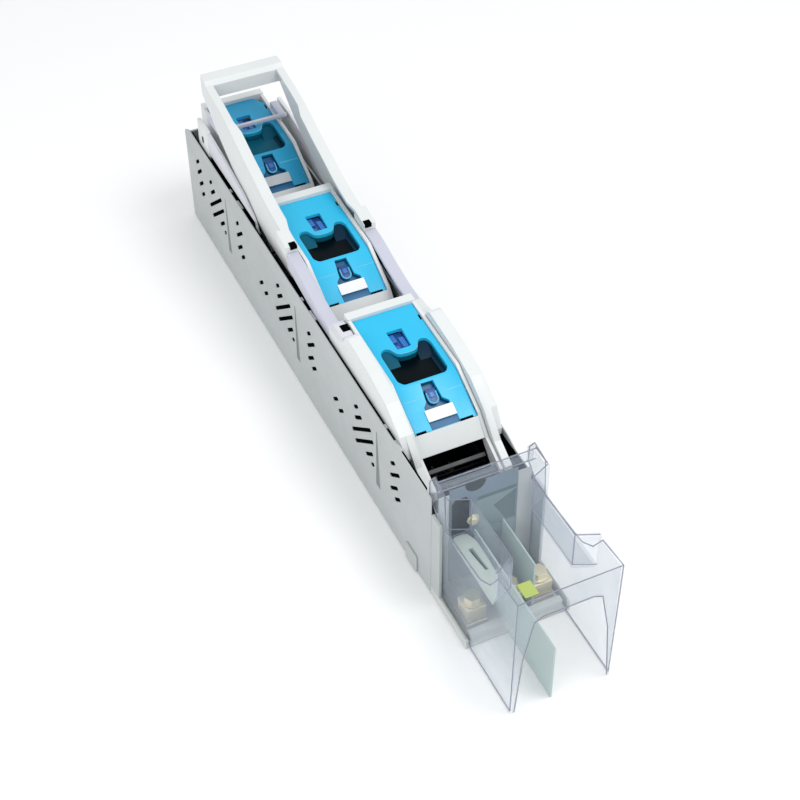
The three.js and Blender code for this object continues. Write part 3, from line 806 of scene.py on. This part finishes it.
def add_cover_folds(k, pole):
    """Painted shadows in the two slots at the foot and in the notch, and a painted highlight along the fold
    beside the lower port.
    """
    body = f"carrier_{k}"
    for n, (x0, x1) in enumerate(FOOT_SLOTS, 1):
        slot = slope_box(f"cover_slot_{k}_{n}", pole, (x0 + 0.2, x1 - 0.2), (-52, -50.4), (-2.2, -1.2), 0.1)
        place(slot, body, "painted_shade_black", "black_liner")
    for n, x in enumerate(((-27.6, -9.6), (9.0, 28.6)), 1):
        fold = slope_box(f"cover_fold_{k}_{n}", pole, x, (-25.3, -24.5), (-0.4, 0.12), 0.1)
        place(fold, body, "cover_painted_highlight", "cover_blue")
    notch = box(f"cover_notch_{k}", (27.5, 29.2), (pole + 56.3, pole + 62.7), (138.4, 140.4), 0.2)
    place(notch, body, "painted_shade_black", "black_liner")


def add_window(k, pole, window):
    body = f"carrier_{k}"
    # The well's walls are dark teal as painted shade, and the first carrier's pane is teal as a painted
    # reflection.
    well = plate(f"window_well_{k}", grown(window, 1.4), *WELL_LEVELS, "Z", [window], bevel=0.2)
    place(well, body, "window_shade_and_reflection", "cover_blue")
    pane = plate(f"smoked_pane_{k}", grown(window, 1.3), *PANE_LEVELS, "Z", bevel=0.3)
    place(pane, body, "window_shade_and_reflection" if k == 1 else "dark_pane", "dark_pane", f"window_pane_{k}")
    # The left lobe is teal and the right a darker slate as painted shade; on the first carrier both are
    # teal.
    ramp = moved([(35.4, 137), (31, 136.2), (18, 130.5), (18, 129.6), (35.4, 134.6)], pole)
    for (name, side), finish in zip(SIDES, ("window_shade_and_reflection", "pane_slate")):
        lobe = plate(f"window_lobe_{name}_{k}", ramp, *across(9.4, 24, side), "X", bevel=0.5, segments=3)
        place(lobe, body, "window_shade_and_reflection" if k == 1 else finish, "cover_blue")
    # A dark slate strip inside the window's right edge as painted shade.
    flank = box(f"window_flank_{k}", (19, 24.2), (pole - 8, pole + 20), (130.2, 131.2), 0.4, 2)
    place(flank, body, "pane_slate", "dark_pane")
    # A paler bead round the window's top as a painted highlight.
    rim = sorted((x, y) for x, y in grown(window_points(), 0.5) if y > 22 and abs(x) < 15.5)
    bead = tube(f"window_bead_{k}", [(x, y + pole, front_height(y) + 0.05) for x, y in rim], BEAD_RADIUS)
    place(bead, body, "cover_painted_highlight", "cover_blue")


def add_hook(k, pole):
    """A dark blue hook piece fills the upper port, with lighter ribs as painted highlights."""
    body = f"carrier_{k}"
    base = box(f"hook_base_{k}", (-7.9, 7.9), (pole + 29.2, pole + 55), (129.5, 135.4), 0.5, 2)
    place(base, body, "port_blue", "port_blue", f"fuse_hook_{k}")
    ribs = (((-7, -1.5), (42, 52.6), (135, 137.2)), ((0.6, 6), (34, 47), (135, 137)),
            ((-6.6, -2.4), (31, 38), (135, 136.6)))
    for n, (x, y, z) in enumerate(ribs, 1):
        rib = box(f"hook_rib_{k}_{n}", x, (pole + y[0], pole + y[1]), z, 0.6, 1)
        place(rib, body, "port_painted_highlight", "port_blue")


def add_latch(k, pole):
    """A tongue with a pale collar and a small lighter grip as painted highlights, over the lower port's
    floor, darkened as painted shade.
    """
    body = f"latch_{k}"
    top = SLOPE_TOP.z - 2.0
    tip = down(-27.5)
    outline = [(5, down(-19)), (-5, down(-19)), *arc(0, tip, 5, 180, 360)]
    tongue = plate(f"latch_tongue_{k}", moved(outline, 0, pole), SLOPE_TOP.z - 4.6, top, bevel=0.5)
    place(tilt(tongue, pole), body, "port_blue", "port_blue", f"release_latch_{k}")
    collar = [(-4.4, down(-22)), *arc(0, tip, 4.4, 180, 360), (4.4, down(-22))]
    bead = tube(f"latch_bead_{k}", [(x, y + pole, top) for x, y in collar], 0.8)
    place(tilt(bead, pole), body, "cover_painted_highlight", "port_blue")
    grip = slope_box(f"latch_grip_{k}", pole, (-2.4, 2.4), (-26.5, -22), (-2.2, -1.2), 0.4, 1)
    place(grip, body, "port_painted_highlight", "port_blue")
    floor = slope_box(f"port_floor_{k}", pole, (-13, 13), (-36, -13), (-7, -5.2), 0.4, 1)
    place(floor, f"carrier_{k}", "cover_recess_shade", "port_blue")


def add_label(k, pole):
    body = f"carrier_{k}"
    # The first carrier's label is greyer as painted shade, and the tray under the labels is a dark copy of
    # the blue as painted shade.
    card = slope_box(f"label_card_{k}", pole, (-13.3, 13.3), (-45.5, -35.7), (0.5, 1.3), 0.25, 0.8)
    place(card, body, "label_painted_shade" if k == 1 else "label_white", "label_white", f"label_plate_{k}")
    tray = slope_box(f"label_tray_{k}", pole, (-14.2, 14.2), (-51.6, -44.8), (-1.6, -0.85), 0.1)
    place(tray, body, "cover_recess_shade", "cover_blue")
    stem = slope_box(f"label_stem_{k}", pole, (-12.6, 12.6), (-44, -37), (-1.4, 0.7), 0.3)
    place(stem, body, "cover_blue", "cover_blue")


# ---- lever ----
def add_lever_details():
    """Sockets painted black as painted shade where the arms meet the links, and a junction block, paler as
    painted light, with a hole painted black as painted shade at the left cheek.
    """
    for name, side in SIDES:
        add_socket(f"arm_socket_{name}", 38 * side, 282.6, (146, 150), (3.4, 3.6))
    outline = rounded([(152, 131), (180, 130.4), (176, 139), (170, 140.8), (152, 141.4)], 2)
    junction = plate("lever_junction", outline, -45.4, -34, "X", bevel=1.0)
    junction.data.transform(Matrix.Translation((0, LEVER_AXLE_Y * MM, 0)))
    place(junction, "lever", "pale_painted_light", "link_grey")
    add_socket("cheek_socket", -37.6, 162.5, (139.6, 141.5), (3.7, 4.6))


def add_socket(name, x, distance, z, half):
    """A hole painted black as painted shade, at a distance from the lever's axle, with its half sizes along
    x and y.
    """
    y = LEVER_AXLE_Y + distance
    hole = box(name, (x - half[0], x + half[0]), (y - half[1], y + half[1]), z, 0.1, 0.8)
    place(hole, "lever", "painted_shade_black", "black_liner")


# ---- clear cover ----
# The cover's side, as (distance from the body, height).
COVER_SIDE = ((2, 5), (2, 101), (-10, 112), (-10, 128), (-2, 140), (17, 137), (20, 98), (81, 103), (97, 114),
              (109, 134), (140, 137), (138, 1), (68, 1), (68, 5))
# The opening in its front, as (x, height).
COVER_BAND = ((43, 1), (38, 66), (30, 108), (22, 112), (-22, 112), (-30, 108), (-38, 66), (-43, 1))
COVER_EDGE = 45.7
COVER_LENGTH = 140
COVER_TOP = 137
RECESS_SIDE = 27.6
RECESS_ENDS = (29, 97)
RECESS_LEVELS = (101, 136.6)
# A finger recess from above, as (x, distance from the body).
RECESS = ((COVER_EDGE, 21), (RECESS_SIDE, RECESS_ENDS[0]), (RECESS_SIDE, RECESS_ENDS[1]), (COVER_EDGE, 105))


def add_clear_cover():
    """The cover keeps its CAD shape. Light gathers in its edges, which show as darker lines, painted here as
    dark beads along them.
    """
    front = BODY_NEAR - COVER_LENGTH
    lines = [[(x, front, z) for x, z in COVER_BAND],
             [(x, front, COVER_TOP) for x in (-COVER_EDGE, COVER_EDGE)]]
    for z in (124.5, 136.4):
        lines.append([(-COVER_EDGE, BODY_NEAR - 1, z), (COVER_EDGE, BODY_NEAR - 1, z)])
    for side in (-1, 1):
        edge = COVER_EDGE * side
        lines.append([(edge, BODY_NEAR - d, z) for d, z in (*COVER_SIDE, COVER_SIDE[0])])
        lines.append([(edge, BODY_NEAR - 20, COVER_TOP), (edge, BODY_NEAR, COVER_TOP)])
        for z in RECESS_LEVELS:
            lines.append([(x * side, BODY_NEAR - d, z) for x, d in RECESS])
        for d in RECESS_ENDS:
            lines.append([(RECESS_SIDE * side, BODY_NEAR - d, z) for z in RECESS_LEVELS])
    for n, points in enumerate(lines, 1):
        place(tube(f"cover_edge_{n}", points, BEAD_RADIUS), "end_cover", "clear_edge", "clear_plastic")
    marker = box("marker_card", (-37.6, -26), (front + 3, front + 17.4), (137.35, 138.1), 0.3, 0.8)
    place(marker, "end_cover", "marker_green", "marker_green", "cover_marker")


add_camera()
add_stage()
dress_cad_nodes()
add_side_walls()
add_far_end()
add_back()
add_terminal_details()
add_dark_pit()
for number, pole_y in enumerate(POLES, 1):
    add_cover(number, pole_y)
add_lever_details()
add_clear_cover()
